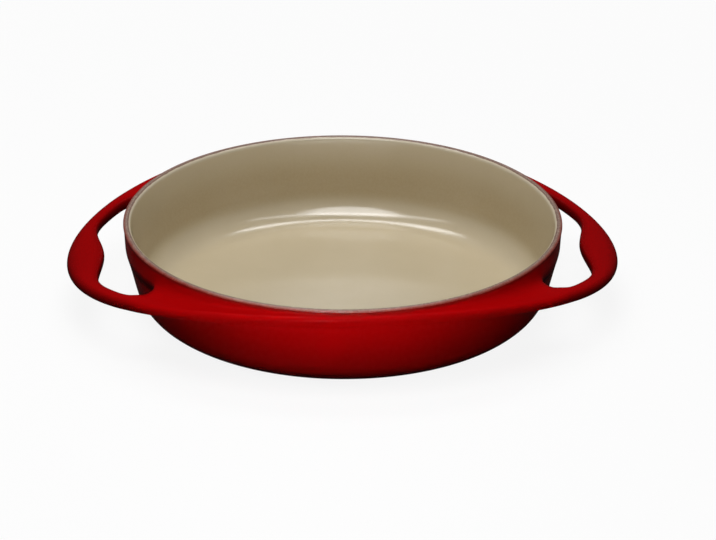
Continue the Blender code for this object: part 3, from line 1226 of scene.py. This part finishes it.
@dataclass(frozen=True)
class Studio:
    """White floor, white surroundings and soft lamps.

    Args:
        lamps: The lamps.
        ambient: Strength of the surroundings' light.
        mirrored_world: Share of the surroundings that is mirrored.
        mirrored_floor: Share of the floor that is mirrored.
        floor_half: Half the floor's width.
        floor_cells: Number of faces along the floor.
        floor_colour: Colour of the floor to the camera.
        bounce_colour: Colour of the floor for the light it throws back.
        lift: Share of plain white in the floor around the dish, to the camera.
        fade: Distances at which the floor starts to fade and is full white.
        target: Point that the lamps hang around.
    """

    lamps: tuple[Lamp, ...] = (
        Lamp("front_top_softbox", 0.0, 69.5, 1.5, 1.02, 1.05, 11.9, aside=-0.14),
        Lamp("overhead_strip", 0.0, 79.5, 1.5, 2.80, 0.20, 5.4, aside=-0.26),
        Lamp("front_low_softbox", -3.0, 4.5, 1.8, 2.40, 0.22, 2.6),
        Lamp("rear_top_strip", 180.0, 66.5, 1.5, 1.36, 0.38, 7.3, aside=-0.06),
        Lamp("rear_low_softbox", 176.8, 26.8, 1.6, 0.16, 0.14, 0.095),
        Lamp("table_strip", -6.0, 0.0, 0.8, 0.20, 0.05, 0.062, 19.0),
    )
    ambient: float = 0.04
    mirrored_world: float = 0.04
    mirrored_floor: float = 0.012
    floor_half: float = 4.0
    floor_cells: int = 8
    floor_colour: Colour = (0.88, 0.88, 0.88)
    bounce_colour: Colour = (0.035, 0.035, 0.035)
    lift: float = 0.89
    fade: Point = (0.3, 1.2)
    target: Vector = Vector((0.0, 0.0, 0.03))

    def _seen(self, tree: NodeTree, share: float) -> Socket:
        """Measure how much of the white background a ray shows.

        Args:
            tree: The nodes of the floor or of the surroundings.
            share: What a mirrored ray shows of it, where the camera sees all of it.

        Returns:
            The amount for the ray at hand.
        """
        rays = tree.add("ShaderNodeLightPath").outputs
        mirrored = tree.math("MAXIMUM", rays["Is Glossy Ray"], rays["Is Transmission Ray"])
        return tree.math("MAXIMUM", rays["Is Camera Ray"], tree.times(mirrored, share))

    def _floor(self) -> bpy.types.Object:
        """Lay a pale sheet that keeps the dish's shadow and fades to white.

        Returns:
            The floor.
        """
        sheet = bmesh.new()
        bmesh.ops.create_grid(sheet, x_segments=self.floor_cells, y_segments=self.floor_cells,
                              size=self.floor_half)
        floor = add_mesh("studio_floor", sheet)
        material = bpy.data.materials.new("studio_floor")
        material.use_nodes = True
        material.node_tree.nodes.clear()
        tree = NodeTree(material.node_tree)
        seen = self._seen(tree, self.mirrored_floor)
        reach, _ = tree.reach(tree.place())
        paint = tree.add("ShaderNodeBsdfDiffuse", {
            "Color": tree.blend(seen, self.bounce_colour, self.floor_colour)})
        glow = tree.add("ShaderNodeEmission", {"Color": WHITE, "Strength": 1.0})
        fade = tree.remap(reach, *self.fade, self.lift, 1.0, smooth=True)
        mix = tree.add("ShaderNodeMixShader", {0: tree.times(seen, fade),
                                               1: paint.outputs[0], 2: glow.outputs[0]})
        tree.add("ShaderNodeOutputMaterial", {"Surface": mix.outputs[0]})
        floor.data.materials.append(material)
        return floor

    def _world(self) -> bpy.types.World:
        """Surround the scene with white that lights it only dimly.

        Returns:
            The surroundings.
        """
        world = bpy.data.worlds.new("studio")
        world.use_nodes = True
        world.node_tree.nodes.clear()
        tree = NodeTree(world.node_tree)
        strength = tree.remap(self._seen(tree, self.mirrored_world), 0.0, 1.0,
                              self.ambient, 1.0)
        glow = tree.add("ShaderNodeBackground", {"Color": WHITE, "Strength": strength})
        tree.add("ShaderNodeOutputWorld", {"Surface": glow.outputs[0]})
        bpy.context.scene.world = world
        return world

    def build(self) -> None:
        """Build the floor, the surroundings and the lamps, and set the plain view."""
        self._floor()
        self._world()
        for lamp in self.lamps:
            lamp.build(self.target)
        bpy.context.scene.view_settings.view_transform = "Standard"


@dataclass(frozen=True)
class PhotoCamera:
    """Camera at the photograph's viewing angle.

    Args:
        azimuth: Direction of the camera from the dish, in degrees: 0 is in front.
        elevation: Height of that direction, in degrees.
        roll: Turn around the line of sight, in degrees.
        distance: Distance from the middle of the lip.
        scale: Pixels per metre at the middle of the lip.
        lip_pixel: Where the middle of the lip is in the image.
        image_size: Width and height of the image in pixels.
        sensor: Width of the sensor in millimetres.
    """

    azimuth: float = -3.07
    elevation: float = 23.70
    roll: float = 0.26
    distance: float = 3.02
    scale: float = 1666.5
    lip_pixel: Point = (342.8, 219.2)
    image_size: tuple[int, int] = (716, 540)
    sensor: float = 36.0

    def build(self, target: Vector) -> bpy.types.Object:
        """Set up the camera.

        Args:
            target: The middle of the lip.

        Returns:
            The camera, which is the scene's.
        """
        turn, rise, roll = map(math.radians, (self.azimuth, self.elevation, self.roll))
        back = direction(turn, rise)
        level = Vector((math.cos(turn), math.sin(turn), 0.0))
        upright = back.cross(level)
        right = level * math.cos(roll) + upright * math.sin(roll)
        up = upright * math.cos(roll) - level * math.sin(roll)
        place = target + back * self.distance
        aside = (self.image_size[0] / 2 - self.lip_pixel[0]) / self.scale
        below = (self.image_size[1] / 2 - self.lip_pixel[1]) / self.scale
        back = (place - (target + right * aside - up * below)).normalized()
        right = up.cross(back).normalized()
        up = back.cross(right)
        turned = Matrix((right, up, back)).transposed().to_4x4()
        data = bpy.data.cameras.new("photo_camera")
        data.sensor_width = self.sensor
        data.lens = self.scale * self.distance * self.sensor / self.image_size[0]
        camera = add_object("photo_camera", data)
        camera.matrix_world = Matrix.Translation(place) @ turned
        bpy.context.scene.camera = camera
        return camera


@dataclass(frozen=True)
class TartDish:
    """The whole dish: its enamel coats over the iron casting."""

    bowl: Bowl = field(default_factory=Bowl)
    plate: HandlePlate = field(default_factory=HandlePlate)
    coats: tuple[EnamelCoat, ...] = (
        EnamelCoat(Coat.INTERIOR, "sand_enamel", SandEnamel()),
        EnamelCoat(Coat.RIM, "grey_enamel", LipEnamel()),
        EnamelCoat(Coat.EXTERIOR, "red_enamel", RedEnamel()),
        EnamelCoat(Coat.BASE, "base_enamel", BaseEnamel()),
    )
    casting: str = "iron_casting"

    def build(self) -> list[bpy.types.Object]:
        """Build the coats and dress the casting, whose CAD shape stays.

        Returns:
            The pieces.
        """
        SurfaceEffects().build()
        skin = DishSkin(self.bowl, self.plate).smoothed()
        pieces = [coat.build(skin) for coat in self.coats]
        bpy.data.meshes.remove(skin)
        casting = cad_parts[self.casting]
        casting.data.materials.clear()
        casting.data.materials.append(CastIron().material())
        return pieces + [casting]


def main() -> None:
    """Build the dish's looks, the studio and the camera."""
    logging.basicConfig(level=logging.INFO, format="%(name)s: %(message)s")
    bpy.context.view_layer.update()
    dish = TartDish()
    for piece in dish.build():
        LOG.info("%s: %d faces before modifiers", piece.name, len(piece.data.polygons))
    Studio().build()
    PhotoCamera().build(Vector((0.0, 0.0, dish.bowl.height)))


if __name__ == "__main__":
    main()
